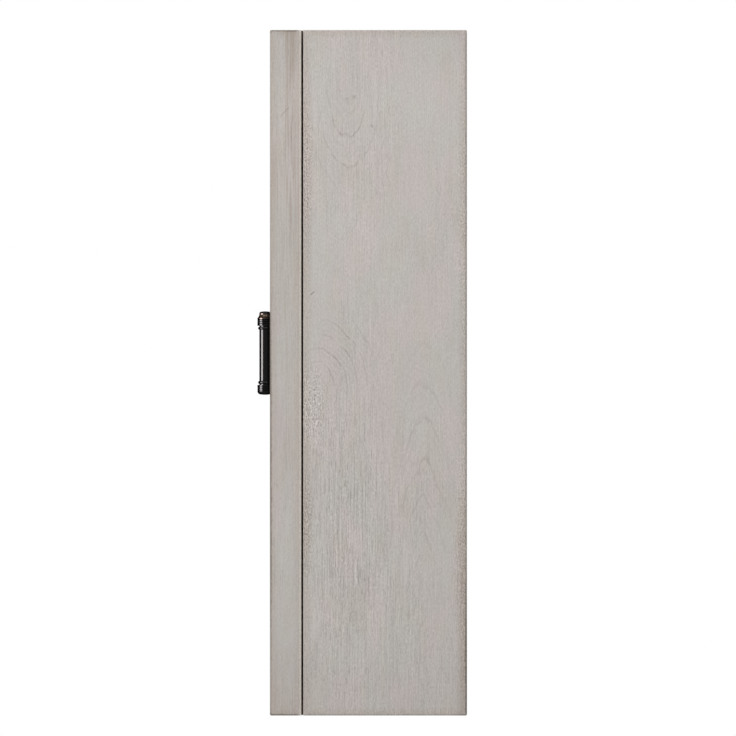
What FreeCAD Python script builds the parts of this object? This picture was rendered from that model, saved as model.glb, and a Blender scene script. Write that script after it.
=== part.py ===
import FreeCAD, Part

import math
import os

from FreeCAD import Placement, Rotation, Vector

# A wall-hung medicine cabinet: a whitewashed wooden case closed by one mirror door over its whole front.
# Millimetres. The origin is the middle of the back, on the wall. +Z is up, -Y is the room side of the
# cabinet, and the door is hinged on the +X side.

# Case boards
cabinet_width = 610.0
cabinet_height = 762.0
case_depth = 182.0
side_thickness = 18.0
top_thickness = 18.0
edge_round = 2.0
gap_edge_round = 0.6

# Back panel, let into the boards, and the two rails that take the wall screws
back_thickness = 6.0
back_lap = 9.0
back_clearance = 0.5
rail_thickness = 18.0
rail_height = 60.0
wall_hole_spacing = 406.4
wall_hole_diameter = 6.0

# Dowels of the case
dowel_diameter = 8.0
dowel_in_side = 10.0
dowel_in_board = 20.0
dowel_from_edge = 32.0
dowels_per_joint = 3
rail_dowel_spacing = 28.0

# Clearances shared by the fits
dowel_fit = 0.05
dowel_end_gap = 0.5
screw_fit = 0.05
screw_sink = 0.3
recess_width = 0.9
recess_depth = 1.2
recess_rim = 1.0

# Dust strips on the front edges of the case, and pads that close the ends of the gap beside the hinges
strip_width = 3.5
strip_from_inside = 0.2
strip_clearance = 0.5
dust_pad_width = 4.0
dust_pad_length = 16.0
dust_pad_from_edge = 6.3

# Screws of the back panel
back_screw_head = 6.4
back_screw_shank = 3.0
back_screw_length = 18.0
back_screws_per_edge = 3
back_screw_from_corner = 110.0

# Glass shelves on pegs
shelf_thickness = 6.0
shelf_depth = 150.0
shelf_back_gap = 3.0
shelf_side_gap = 1.5
shelf_corner = 5.0
shelf_arris = 0.6
shelf_heights = (118.0, -118.0)
peg_pitch = 32.0
peg_positions = 5
peg_diameter = 5.0
peg_in_side = 9.0
peg_hole_depth = 10.0
peg_fit = 0.05
peg_from_shelf_end = 25.0
ledge_length = 10.0
ledge_width = 9.0
ledge_thickness = 3.0
pad_diameter = 7.0
pad_thickness = 1.0

# Door frame
door_gap = 2.0
door_thickness = 35.0
frame_width = 76.0
lip_thickness = 12.0
mirror_lap = 9.0
sticking_radius = 6.0
sticking_step = 1.5
sticking_margin = 1.0
frame_dowel_diameter = 10.0
frame_dowel_half_length = 30.0
frame_dowel_places = (18.0, 48.0)

# Mirror, its backing board and the beads that hold both in the frame
mirror_thickness = 5.0
mirror_edge_thickness = 3.6
mirror_bevel = 25.0
mirror_clearance = 1.5
mirror_seat = 0.05
backing_thickness = 3.0
bead_width = 13.0
bead_below_face = 1.0
bead_chamfer = 3.0
bead_pin_diameter = 1.8
bead_pin_head = 3.2
bead_pin_head_height = 0.8
bead_pin_in_frame = 12.0
bead_pins_per_bead = 3
bead_pin_from_end = 60.0

# Concealed cup hinges with one pin each
hinge_from_end = 100.0
pin_from_door_side = 8.0
pin_from_door_back = 13.0
pin_diameter = 2.8
pin_running_fit = 0.05
pin_tight_fit = 0.02
cup_diameter = 35.0
cup_from_door_side = 3.0
cup_depth = 17.5
cup_wall = 1.2
cup_fit = 0.1
flange_thickness = 1.2
flange_width = 20.0
flange_length = 66.0
flange_corner = 6.0
flange_fit = 0.15
cup_screw_spacing = 52.0
cup_screw_head = 6.0
cup_screw_shank = 3.2
cup_screw_length = 16.0
lug_thickness = 3.4
lug_width = 7.0
lug_gap = 0.4
arm_nose_width = 9.0
arm_boss_diameter = 5.4
arm_thickness = 3.0
arm_bend = 4.0
arm_cheek_thickness = 1.4
arm_cheek_height = 6.0
arm_cheek_gap = 0.4
plate_thickness = 2.0
plate_length = 46.0
plate_height = 48.0
plate_corner = 5.0
plate_from_front = 14.0
plate_block_width = 12.0
plate_block_height = 8.0
plate_block_inset = 2.0
plate_screw_spacing = 32.0
plate_screw_head = 6.4
plate_screw_shank = 3.4
plate_screw_length = 15.0
arm_screw_shank = 5.0
arm_screw_head = 8.4
arm_screw_head_height = 2.4
arm_screw_length = 10.0
arm_screw_from_end = 9.0

# Pull handle on the free stile
handle_height = 22.0
handle_spacing = 96.0
handle_standoff = 26.8
bar_diameter = 15.2
bead_ring_diameter = 18.4
bead_ring_height = 4.0
bead_ring_groove = 1.2
spigot_diameter = 9.0
spigot_length = 8.0
ferrule_diameter = 20.4
ferrule_below_post = 9.0
ferrule_length = 10.2
ferrule_ring_depth = 0.5
ferrule_ring_places = (2.6, 5.2, 7.8)
ferrule_crown = 0.5
lower_ferrule_length = 8.4
lower_ferrule_round = 4.2
finial_diameter = 15.2
finial_cove_height = 5.6
finial_cove_sag = 0.7
finial_side = 0.4
finial_round = 2.4
spigot_fit = 0.05
post_diameter = 13.0
post_foot_diameter = 18.0
post_foot_height = 1.2
post_waist_sag = 2.4
rosette_diameter = 22.0
rosette_thickness = 2.5
rosette_edge = 1.2
handle_screw_shank = 4.0
handle_screw_head = 8.0
handle_screw_head_height = 2.6
handle_screw_counterbore = 3.2
handle_screw_in_post = 10.0
handle_screw_hole_room = 0.3
handle_head_room = 0.6

# Magnetic catch and door buffers
catch_height = 210.0
catch_width = 12.0
catch_length = 46.0
catch_depth = 16.0
catch_set_back = 1.0
catch_edge = 1.0
magnet_thickness = 4.0
magnet_length = 24.0
magnet_depth = 12.0
pole_thickness = 1.2
stack_fit = 0.1
catch_gap = 0.3
catch_screw_spacing = 35.0
catch_screw_head = 5.6
catch_screw_shank = 2.8
catch_screw_length = 22.0
strike_thickness = 1.2
strike_width = 10.0
strike_length = 30.0
strike_screw_head = 5.2
strike_screw_shank = 2.6
strike_screw_length = 14.0
buffer_diameter = 8.0
buffer_gap = 0.3

# Planes and axes that the pieces share
half_width = cabinet_width / 2
half_height = cabinet_height / 2
inner_x = half_width - side_thickness
inner_z = half_height - top_thickness
front_y = -case_depth
door_back_y = front_y - door_gap
door_front_y = door_back_y - door_thickness
pin_x = half_width - pin_from_door_side
pin_y = door_back_y - pin_from_door_back
hinge_heights = (half_height - hinge_from_end, hinge_from_end - half_height)
cup_x = half_width - cup_from_door_side - cup_diameter / 2
rail_back_y = -back_thickness
rail_front_y = rail_back_y - rail_thickness
rail_middle_z = inner_z - rail_height / 2
overrun = 2 * edge_round


def box(x0, x1, y0, y1, z0, z1):
    """A block between two corners."""
    return Part.makeBox(x1 - x0, y1 - y0, z1 - z0, Vector(x0, y0, z0))


def rod(diameter, start, end):
    """A round bar from one point to another."""
    along = end - start
    return Part.makeCylinder(diameter / 2, along.Length, start, along)


def same(one, other):
    """Whether two places along an axis are one place."""
    return math.isclose(one, other, abs_tol=1e-6)


def edges_where(solid, test):
    """The edges of a solid whose ends all pass a test on their place."""
    return [edge for edge in solid.Edges if all(test(vertex.Point) for vertex in edge.Vertexes)]


def upright_edges(solid, axis):
    """The straight edges of a solid that run along one axis."""
    found = []
    for edge in solid.Edges:
        run = edge.Vertexes[-1].Point - edge.Vertexes[0].Point
        if not same(run.Length, 0) and same(abs(run.normalize().dot(axis)), 1):
            found.append(edge)
    return found


def joined(first, *others):
    """Several solids made into one."""
    return first.multiFuse(list(others)).removeSplitter()


def outline(start, *steps):
    """A flat face in the XY plane: a step is the end of a straight run, or a point and the end of an arc."""
    edges = []
    here = Vector(*start, 0)
    for step in steps:
        end = Vector(step[-2], step[-1], 0)
        if len(step) == 4:
            edges.append(Part.Arc(here, Vector(step[0], step[1], 0), end).toShape())
        else:
            edges.append(Part.LineSegment(here, end).toShape())
        here = end
    edges.append(Part.LineSegment(here, Vector(*start, 0)).toShape())
    return Part.Face(Part.Wire(edges))


def bowed(start, end, sag):
    """An arc to an end point as a step of an outline, bowed by its sag to the right of its run."""
    run_x = end[0] - start[0]
    run_y = end[1] - start[1]
    share = sag / math.hypot(run_x, run_y)
    return (start[0] + run_x / 2 + run_y * share, start[1] + run_y / 2 - run_x * share, *end)


def crowned(radius, foot, rise):
    """A spherical cap as a step of an outline, from a radius at its foot to the axis."""
    ball = (radius ** 2 + rise ** 2) / (2 * abs(rise))
    half_angle = math.asin(radius / ball) / 2
    fall = math.copysign(ball * (1 - math.cos(half_angle)), rise)
    return (ball * math.sin(half_angle), foot + rise - fall, 0, foot + rise)


def aimed(solid, base, direction):
    """A copy of a solid drawn along +Y at the origin, moved to a base point and turned along a direction."""
    copy = solid.copy()
    copy.Placement = Placement(base, Rotation(Vector(0, 1, 0), direction))
    return copy


def turned(face):
    """A round solid from its half section, with the radius along X and the axis along +Y."""
    return face.revolve(Vector(0, 0, 0), Vector(0, 1, 0), 360)


def cross_recess(head, top):
    """The driver's cross in a screw head whose top is at a given place on the +Y axis."""
    reach = head / 2 - recess_rim
    half = recess_width / 2
    bottom = top + recess_depth
    return box(-reach, reach, top - overrun, bottom, -half, half).fuse(
        box(-half, half, top - overrun, bottom, -reach, reach))


def flat_screw(head, shank, length):
    """A flat-head wood screw: the head's face is at the origin and the point is along +Y."""
    cone = (head - shank) / 2
    point = shank
    body = turned(outline((0, 0), (head / 2, 0), (shank / 2, cone), (shank / 2, length - point), (0, length)))
    return body.cut(cross_recess(head, 0))


def flat_screw_bore(head, shank, length):
    """The hole that a flat-head screw sits in, open above its head."""
    head_radius = head / 2 + screw_fit
    shank_radius = shank / 2 + screw_fit
    cone = head_radius - shank_radius
    return turned(outline((0, -overrun), (head_radius, -overrun), (head_radius, 0), (shank_radius, cone),
                          (shank_radius, length + screw_fit), (0, length + screw_fit)))


def pan_screw(head, head_height, shank, length):
    """A machine screw with a domed head above the origin and its shank along +Y."""
    rim = head_height / 2
    section = outline((0, length), (shank / 2, length), (shank / 2, 0), (head / 2, 0), (head / 2, -rim),
                      crowned(head / 2, -rim, rim - head_height))
    return turned(section).cut(cross_recess(head, -head_height))


def spread(count, first, last):
    """Places at even steps from the first to the last."""
    return [first + (last - first) * index / (count - 1) for index in range(count)]


nodes = {}


def rounded_block(front, back, gap, upright_gap_round):
    """A block over the cabinet's width and height, rounded along every edge: what three blocks share that are
    each rounded along one axis. At the gap between case and door the level edges are nearly sharp, and the
    upright ones have a radius of their own."""
    block = box(-half_width, half_width, front, back, -half_height, half_height)
    shared = block.makeFillet(edge_round, upright_edges(block, Vector(0, 1, 0)))
    for axis, gap_round in ((Vector(0, 0, 1), upright_gap_round), (Vector(1, 0, 0), gap_edge_round)):
        outer_edges = [edge for edge in upright_edges(block, axis) if not same(edge.Vertexes[0].Y, gap)]
        rounded = block.makeFillet(edge_round, outer_edges)
        gap_edges = [edge for edge in upright_edges(rounded, axis) if same(edge.Vertexes[0].Y, gap)]
        shared = shared.common(rounded.makeFillet(gap_round, gap_edges))
    return shared


# Case boards, rounded along every outer edge of the assembled case
case_block = rounded_block(front_y, 0, front_y, gap_edge_round)

side_right = box(inner_x, half_width, front_y, 0, -half_height, half_height).common(case_block)
top_board = box(-inner_x, inner_x, front_y, 0, inner_z, half_height).common(case_block)
back_reach_x = inner_x + back_lap
back_reach_z = inner_z + back_lap
back_recess = box(-back_reach_x, back_reach_x, -back_thickness, overrun, -back_reach_z, back_reach_z)
back_panel = box(-back_reach_x + back_clearance, back_reach_x - back_clearance, -back_thickness, 0,
                 -back_reach_z + back_clearance, back_reach_z - back_clearance)
rail = box(-inner_x, inner_x, rail_front_y, rail_back_y, inner_z - rail_height, inner_z)

# Dust strips, which darken the gap: they lie just inside the path of the door's upright edge as it opens
strip_face_y = door_back_y + strip_clearance
strip_x = inner_x + strip_from_inside
strip_z = inner_z + strip_from_inside
upright_strip = box(strip_x, strip_x + strip_width, strip_face_y, front_y, -half_height, half_height)
level_strip = box(-strip_x, strip_x, strip_face_y, front_y, strip_z, strip_z + strip_width)
dust_strips = [upright_strip, level_strip, upright_strip.mirror(Vector(0, 0, 0), Vector(1, 0, 0)),
               level_strip.mirror(Vector(0, 0, 0), Vector(0, 0, 1))]

# Dowels between the boards: each lies along X across a joint at the inner face of a side
dowel_places = []
for z in (half_height - top_thickness / 2, top_thickness / 2 - half_height):
    for y in spread(dowels_per_joint, front_y + dowel_from_edge, -dowel_from_edge):
        dowel_places.append((y, z))
for rail_z in (rail_middle_z, -rail_middle_z):
    for z in (rail_z - rail_dowel_spacing / 2, rail_z + rail_dowel_spacing / 2):
        dowel_places.append(((rail_front_y + rail_back_y) / 2, z))


def dowel(side, y, z, fit=0.0, end_gap=0.0):
    """A dowel across one joint, or with a fit and an end gap the hole for it."""
    inside = inner_x - dowel_in_board - end_gap
    outside = inner_x + dowel_in_side + end_gap
    return rod(dowel_diameter + 2 * fit, Vector(side * inside, y, z), Vector(side * outside, y, z))


case_dowels = [dowel(side, y, z) for side in (1, -1) for y, z in dowel_places]
dowel_holes = [dowel(side, y, z, dowel_fit, dowel_end_gap) for side in (1, -1) for y, z in dowel_places]

# Screws of the back panel, in the middle of the lap
lap_x = inner_x + back_lap / 2
lap_z = inner_z + back_lap / 2
back_screw_reach_x = half_width - back_screw_from_corner
back_screw_reach_z = half_height - back_screw_from_corner
back_screw_spots = []
for x in spread(back_screws_per_edge, -back_screw_reach_x, back_screw_reach_x):
    back_screw_spots += [Vector(x, -screw_sink, lap_z), Vector(x, -screw_sink, -lap_z)]
for z in spread(back_screws_per_edge, -back_screw_reach_z, back_screw_reach_z):
    back_screw_spots += [Vector(lap_x, -screw_sink, z), Vector(-lap_x, -screw_sink, z)]
back_screw = flat_screw(back_screw_head, back_screw_shank, back_screw_length)
back_screw_bore = flat_screw_bore(back_screw_head, back_screw_shank, back_screw_length)
into_case = Vector(0, -1, 0)
back_screws = [aimed(back_screw, spot, into_case) for spot in back_screw_spots]
back_screw_holes = [aimed(back_screw_bore, spot, into_case) for spot in back_screw_spots]

# Wall-screw holes through the rails and the back panel
wall_holes = []
for x in (-wall_hole_spacing / 2, wall_hole_spacing / 2):
    for z in (rail_middle_z, -rail_middle_z):
        wall_holes.append(rod(wall_hole_diameter, Vector(x, rail_front_y - overrun, z),
                              Vector(x, overrun, z)))

# Shelf pegs: the peg's axis is in the middle of its ledge, and the shelf lies on a pad on the ledge
shelf_back_y = rail_front_y - shelf_back_gap
shelf_front_y = shelf_back_y - shelf_depth
peg_columns = (shelf_back_y - peg_from_shelf_end, shelf_front_y + peg_from_shelf_end)
peg_steps = spread(peg_positions, -peg_pitch * (peg_positions - 1) / 2, peg_pitch * (peg_positions - 1) / 2)
peg_holes = []
for side in (1, -1):
    for y in peg_columns:
        for z in [height + step for height in shelf_heights for step in peg_steps]:
            peg_holes.append(rod(peg_diameter + 2 * peg_fit, Vector(side * (inner_x - overrun), y, z),
                                 Vector(side * (inner_x + peg_hole_depth), y, z)))


def shelf_peg(side, y, z):
    """A peg in a side board with a flat ledge under the shelf."""
    peg = rod(peg_diameter, Vector(inner_x, y, z), Vector(inner_x + peg_in_side, y, z))
    ledge = box(inner_x - ledge_length, inner_x, y - ledge_width / 2, y + ledge_width / 2,
                z - ledge_thickness / 2, z + ledge_thickness / 2)
    piece = joined(peg, ledge)
    if side < 0:
        piece = piece.mirror(Vector(0, 0, 0), Vector(1, 0, 0))
    return piece


def shelf_pad(side, y, z):
    """A round pad on a ledge."""
    foot = Vector(side * (inner_x - ledge_length / 2), y, z + ledge_thickness / 2)
    return rod(pad_diameter, foot, foot + Vector(0, 0, pad_thickness))


def glass_shelf(height):
    """A glass plate with round corners and ground edges, lying on its four pads."""
    bottom = height + ledge_thickness / 2 + pad_thickness
    reach = inner_x - shelf_side_gap
    plate = box(-reach, reach, shelf_front_y, shelf_back_y, bottom, bottom + shelf_thickness)
    plate = plate.makeFillet(shelf_corner, upright_edges(plate, Vector(0, 0, 1)))
    rims = edges_where(plate, lambda point: same(point.z, bottom))
    rims += edges_where(plate, lambda point: same(point.z, bottom + shelf_thickness))
    return plate.makeChamfer(shelf_arris, rims)


peg_spots = [(side, y, z) for z in shelf_heights for side in (1, -1) for y in peg_columns]

# Hinge plates on the right side, inside the case
plate_front_y = front_y + plate_from_front
plate_back_y = plate_front_y + plate_length
plate_face_x = inner_x - plate_thickness
block_face_x = plate_face_x - plate_block_height
arm_face_x = block_face_x - arm_thickness
arm_screw_places = (plate_front_y + arm_screw_from_end, plate_back_y - arm_screw_from_end)
out_of_side = Vector(1, 0, 0)
plate_screw = flat_screw(plate_screw_head, plate_screw_shank, plate_screw_length)
plate_screw_bore = flat_screw_bore(plate_screw_head, plate_screw_shank, plate_screw_length)
plate_screw_y = (plate_front_y + plate_back_y) / 2
plate_screw_spots = []
for height in hinge_heights:
    for z in (height - plate_screw_spacing / 2, height + plate_screw_spacing / 2):
        plate_screw_spots.append(Vector(plate_face_x + screw_sink, plate_screw_y, z))
plate_screws = [aimed(plate_screw, spot, out_of_side) for spot in plate_screw_spots]
plate_screw_holes = [aimed(plate_screw_bore, spot, out_of_side) for spot in plate_screw_spots]
arm_screw = pan_screw(arm_screw_head, arm_screw_head_height, arm_screw_shank, arm_screw_length)
arm_screw_spots = [Vector(arm_face_x, y, height) for height in hinge_heights for y in arm_screw_places]
arm_screws = [aimed(arm_screw, spot, out_of_side) for spot in arm_screw_spots]
arm_screw_holes = []
for spot in arm_screw_spots:
    reach = Vector(arm_screw_length + screw_fit, 0, 0)
    arm_screw_holes.append(rod(arm_screw_shank + 2 * screw_fit, spot - Vector(overrun, 0, 0), spot + reach))


def hinge_plate(height):
    """The plate on the side board, with a raised block that carries the arm."""
    base = box(plate_face_x, inner_x, plate_front_y, plate_back_y,
               height - plate_height / 2, height + plate_height / 2)
    base = base.makeFillet(plate_corner, upright_edges(base, Vector(1, 0, 0)))
    block = box(block_face_x, plate_face_x,
                plate_front_y + plate_block_inset, plate_back_y - plate_block_inset,
                height - plate_block_width / 2, height + plate_block_width / 2)
    return joined(base, block).cut(plate_screw_holes + arm_screw_holes)


def hinge_arm(height):
    """The cranked arm: a leg along the block, a nose that reaches into the cup, and an eye for the pin."""
    nose_low = pin_y - arm_thickness / 2
    nose_high = pin_y + arm_thickness / 2
    inner_bend = arm_bend - arm_thickness
    turn = math.sqrt(0.5)
    low_mid = (arm_face_x + arm_bend * (1 - turn), nose_low + arm_bend * (1 - turn))
    high_mid = (block_face_x + inner_bend * (1 - turn), nose_high + inner_bend * (1 - turn))
    crank = outline((pin_x, nose_low), (arm_face_x + arm_bend, nose_low),
                    (*low_mid, arm_face_x, nose_low + arm_bend), (arm_face_x, plate_front_y),
                    (block_face_x, plate_front_y), (block_face_x, nose_high + inner_bend),
                    (*high_mid, block_face_x + inner_bend, nose_high), (pin_x, nose_high))
    half_nose = arm_nose_width / 2
    nose = crank.extrude(Vector(0, 0, arm_nose_width))
    nose.translate(Vector(0, 0, height - half_nose))
    eye = rod(arm_boss_diameter, Vector(pin_x, pin_y, height - half_nose),
              Vector(pin_x, pin_y, height + half_nose))
    half_channel = plate_block_width / 2 + arm_cheek_gap + arm_cheek_thickness
    web = box(arm_face_x, block_face_x, plate_front_y - arm_thickness, plate_back_y,
              height - half_channel, height + half_channel)
    cheeks = []
    for z in (height - half_channel, height + half_channel - arm_cheek_thickness):
        cheeks.append(box(arm_face_x, block_face_x + arm_cheek_height,
                          plate_front_y - arm_thickness, plate_back_y, z, z + arm_cheek_thickness))
    pin_hole = rod(pin_diameter + 2 * pin_running_fit, Vector(pin_x, pin_y, height - overrun - half_nose),
                   Vector(pin_x, pin_y, height + overrun + half_nose))
    return joined(nose, eye, web, *cheeks).cut([pin_hole] + arm_screw_holes)


# Magnetic catch on the left side, at the front of the case
catch_front_y = front_y + catch_set_back
catch_middle_x = -inner_x + catch_width / 2
pole_tip_y = door_back_y + strike_thickness + catch_gap
stack_back_y = catch_front_y + magnet_depth
catch_screw = flat_screw(catch_screw_head, catch_screw_shank, catch_screw_length)
catch_screw_bore = flat_screw_bore(catch_screw_head, catch_screw_shank, catch_screw_length)
catch_screw_x = catch_width - inner_x - screw_sink
catch_screw_y = catch_front_y + catch_depth / 2
catch_screw_spots = []
for z in (catch_height - catch_screw_spacing / 2, catch_height + catch_screw_spacing / 2):
    catch_screw_spots.append(Vector(catch_screw_x, catch_screw_y, z))
into_left_side = Vector(-1, 0, 0)
catch_screws = [aimed(catch_screw, spot, into_left_side) for spot in catch_screw_spots]
catch_screw_holes = [aimed(catch_screw_bore, spot, into_left_side) for spot in catch_screw_spots]


def catch_slab(x_middle, thickness, tip_y, fit=0.0):
    """One layer of the magnet stack, or with a fit the pocket for it."""
    return box(x_middle - thickness / 2 - fit, x_middle + thickness / 2 + fit, tip_y, stack_back_y + fit,
               catch_height - magnet_length / 2 - fit, catch_height + magnet_length / 2 + fit)


catch_body = box(-inner_x, catch_width - inner_x, catch_front_y, catch_front_y + catch_depth,
                 catch_height - catch_length / 2, catch_height + catch_length / 2)
free_edges = edges_where(catch_body, lambda point: same(point.x, catch_width - inner_x))
catch_body = catch_body.makeFillet(catch_edge, free_edges)
stack_thickness = magnet_thickness + 2 * pole_thickness
catch_pocket = catch_slab(catch_middle_x, stack_thickness, catch_front_y - overrun, stack_fit)
catch_magnet = catch_slab(catch_middle_x, magnet_thickness, catch_front_y)
pole_offset = (magnet_thickness + pole_thickness) / 2
catch_poles = [catch_slab(catch_middle_x + offset, pole_thickness, pole_tip_y)
               for offset in (-pole_offset, pole_offset)]

# The case, node by node
side_left = side_right.mirror(Vector(0, 0, 0), Vector(1, 0, 0))
bottom_board = top_board.mirror(Vector(0, 0, 0), Vector(0, 0, 1))
lower_rail = rail.mirror(Vector(0, 0, 0), Vector(0, 0, 1))
board_holes = [back_recess] + dowel_holes + back_screw_holes
nodes["side_right"] = side_right.cut(board_holes + peg_holes + plate_screw_holes)
nodes["side_left"] = side_left.cut(board_holes + peg_holes + catch_screw_holes)
nodes["top_board"] = top_board.cut(board_holes)
nodes["bottom_board"] = bottom_board.cut(board_holes)
nodes["back_panel"] = back_panel.cut(wall_holes + back_screw_holes)
nodes["hanging_rail"] = rail.cut(wall_holes + dowel_holes)
nodes["lower_rail"] = lower_rail.cut(wall_holes + dowel_holes)
nodes["case_dowels"] = Part.Compound(case_dowels)
nodes["back_screws"] = Part.Compound(back_screws)
nodes["dust_strips"] = Part.Compound(dust_strips)
nodes["shelf_upper"] = glass_shelf(shelf_heights[0])
nodes["shelf_lower"] = glass_shelf(shelf_heights[1])
nodes["shelf_pegs"] = Part.Compound([shelf_peg(*spot) for spot in peg_spots])
nodes["shelf_pads"] = Part.Compound([shelf_pad(*spot) for spot in peg_spots])
nodes["hinge_plate_upper"] = hinge_plate(hinge_heights[0])
nodes["hinge_plate_lower"] = hinge_plate(hinge_heights[1])
nodes["hinge_plate_screws"] = Part.Compound(plate_screws)
nodes["hinge_arm_upper"] = hinge_arm(hinge_heights[0])
nodes["hinge_arm_lower"] = hinge_arm(hinge_heights[1])
nodes["hinge_arm_screws"] = Part.Compound(arm_screws)
nodes["catch_body"] = catch_body.cut([catch_pocket] + catch_screw_holes)
nodes["catch_magnet"] = catch_magnet
nodes["catch_poles"] = Part.Compound(catch_poles)
nodes["catch_screws"] = Part.Compound(catch_screws)


# Door frame: each member is drawn with its outer edge at x = 0 and its back at y = 0, along Z
# The upright back edges are rounder than the gap's other edges, because they swing past the case
door_block = rounded_block(door_front_y, door_back_y, door_back_y, edge_round)
seat_depth = door_thickness - lip_thickness
shoulder = frame_width - mirror_lap


def frame_member(length, place, turn):
    """One member of the door frame: a flat board with a moulded inner edge and a rebate for the mirror."""
    moulding = frame_width - sticking_margin - sticking_radius
    step_y = sticking_step - door_thickness
    foot_y = step_y + sticking_radius
    bulge = sticking_radius * math.sqrt(0.5)
    section = outline((0, 0), (0, -door_thickness), (-moulding, -door_thickness), (-moulding, step_y),
                      (-moulding - bulge, foot_y - bulge, -moulding - sticking_radius, foot_y),
                      (-frame_width, foot_y), (-frame_width, -seat_depth), (-shoulder, -seat_depth),
                      (-shoulder, 0))
    member = section.extrude(Vector(0, 0, length))
    member.translate(Vector(0, 0, -length / 2))
    member.Placement = Placement(place, Rotation(Vector(0, 1, 0), turn)).multiply(member.Placement)
    return member.common(door_block)


stile_right = frame_member(cabinet_height, Vector(half_width, door_back_y, 0), 0)
stile_left = frame_member(cabinet_height, Vector(-half_width, door_back_y, 0), 180)
rail_length = cabinet_width - 2 * shoulder
stiles = [stile_right, stile_left]
rail_top = frame_member(rail_length, Vector(0, door_back_y, half_height), -90).cut(stiles)
rail_bottom = frame_member(rail_length, Vector(0, door_back_y, -half_height), 90).cut(stiles)

# Dowels across the four corner joints of the frame
frame_joint_x = half_width - shoulder
frame_dowel_y = door_back_y - seat_depth / 2


def frame_dowel(side, z, fit=0.0, end_gap=0.0):
    """A dowel across one corner joint, or with a fit and an end gap the hole for it."""
    reach = frame_dowel_half_length + end_gap
    return rod(frame_dowel_diameter + 2 * fit, Vector(side * frame_joint_x - reach, frame_dowel_y, z),
               Vector(side * frame_joint_x + reach, frame_dowel_y, z))


frame_dowel_spots = []
for side in (1, -1):
    for place in frame_dowel_places:
        frame_dowel_spots += [(side, half_height - place), (side, place - half_height)]
frame_dowels = [frame_dowel(*spot) for spot in frame_dowel_spots]
frame_dowel_holes = [frame_dowel(*spot, dowel_fit, dowel_end_gap) for spot in frame_dowel_spots]

# Mirror: its bevel rests on the inner corner of the lip, so its face stands a little forward of the seat
mirror_half_width = half_width - shoulder - mirror_clearance
mirror_half_height = half_height - shoulder - mirror_clearance
bevel_drop = mirror_thickness - mirror_edge_thickness
covered_edge = mirror_lap - mirror_clearance
face_forward = bevel_drop * (1 - covered_edge / mirror_bevel)
mirror_face_y = door_back_y - seat_depth - face_forward + mirror_seat
bevel_foot_y = mirror_face_y + bevel_drop
mirror_back_y = mirror_face_y + mirror_thickness
backing_back_y = mirror_back_y + backing_thickness
mirror_plate = box(-mirror_half_width, mirror_half_width, bevel_foot_y, mirror_back_y,
                   -mirror_half_height, mirror_half_height)
bevelled_face = Part.makeWedge(-mirror_half_width, 0, -mirror_half_height,
                               mirror_bevel - mirror_half_height, mirror_bevel - mirror_half_width,
                               mirror_half_width, bevel_drop, mirror_half_height,
                               mirror_half_height - mirror_bevel, mirror_half_width - mirror_bevel)
bevelled_face = aimed(bevelled_face, Vector(0, bevel_foot_y, 0), Vector(0, -1, 0))
backing_board = box(-mirror_half_width, mirror_half_width, mirror_back_y, backing_back_y,
                    -mirror_half_height, mirror_half_height)

# Beads behind the backing board: two upright ones, and two between them
bead_back_y = door_back_y - bead_below_face
bead_half_width = half_width - shoulder
bead_half_height = half_height - shoulder


def bead(x0, x1, z0, z1, is_inner):
    """A bead with its inner back edge chamfered."""
    strip = box(x0, x1, backing_back_y, bead_back_y, z0, z1)
    inner_edges = edges_where(strip, lambda point: same(point.y, bead_back_y) and is_inner(point))
    return strip.makeChamfer(bead_chamfer, inner_edges)


bead_inner_x = bead_half_width - bead_width
bead_inner_z = bead_half_height - bead_width
bead_right = bead(bead_inner_x, bead_half_width, -bead_half_height, bead_half_height,
                  lambda point: same(point.x, bead_inner_x))
bead_top = bead(-bead_inner_x, bead_inner_x, bead_inner_z, bead_half_height,
                lambda point: same(point.z, bead_inner_z))

# Pins driven sideways through the beads into the frame
bead_pin_y = (backing_back_y + bead_back_y) / 2
bead_pin_length = bead_width + bead_pin_in_frame


def bead_pin(fit=0.0, overhang=0.0):
    """A pin with a small flat head below the bead's face, or with a fit the hole for it."""
    head = bead_pin_head / 2 + fit
    shank = bead_pin_diameter / 2 + fit
    tip = bead_pin_length + fit
    return turned(outline((0, -overhang), (head, -overhang), (head, bead_pin_head_height),
                          (shank, bead_pin_head_height), (shank, tip), (0, tip)))


bead_pin_reach_x = bead_half_width - bead_pin_from_end
bead_pin_reach_z = bead_half_height - bead_pin_from_end
bead_pin_spots = []
for side in (1, -1):
    for z in spread(bead_pins_per_bead, -bead_pin_reach_z, bead_pin_reach_z):
        bead_pin_spots.append((Vector(side * bead_inner_x, bead_pin_y, z), Vector(side, 0, 0)))
    for x in spread(bead_pins_per_bead, -bead_pin_reach_x, bead_pin_reach_x):
        bead_pin_spots.append((Vector(x, bead_pin_y, side * bead_inner_z), Vector(0, 0, side)))
bead_pins = [aimed(bead_pin(), spot, direction) for spot, direction in bead_pin_spots]
bead_pin_holes = [aimed(bead_pin(screw_fit, overrun), spot, direction) for spot, direction in bead_pin_spots]

# Hinge cups in the right stile, with the pins in them
cup_screw = flat_screw(cup_screw_head, cup_screw_shank, cup_screw_length)
cup_screw_bore = flat_screw_bore(cup_screw_head, cup_screw_shank, cup_screw_length)
into_door = Vector(0, -1, 0)
cup_screw_spots = []
for height in hinge_heights:
    for z in (height - cup_screw_spacing / 2, height + cup_screw_spacing / 2):
        cup_screw_spots.append(Vector(cup_x, door_back_y - screw_sink, z))
cup_screws = [aimed(cup_screw, spot, into_door) for spot in cup_screw_spots]
cup_screw_holes = [aimed(cup_screw_bore, spot, into_door) for spot in cup_screw_spots]
lug_start = arm_nose_width / 2 + lug_gap
lug_end = lug_start + lug_thickness


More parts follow.
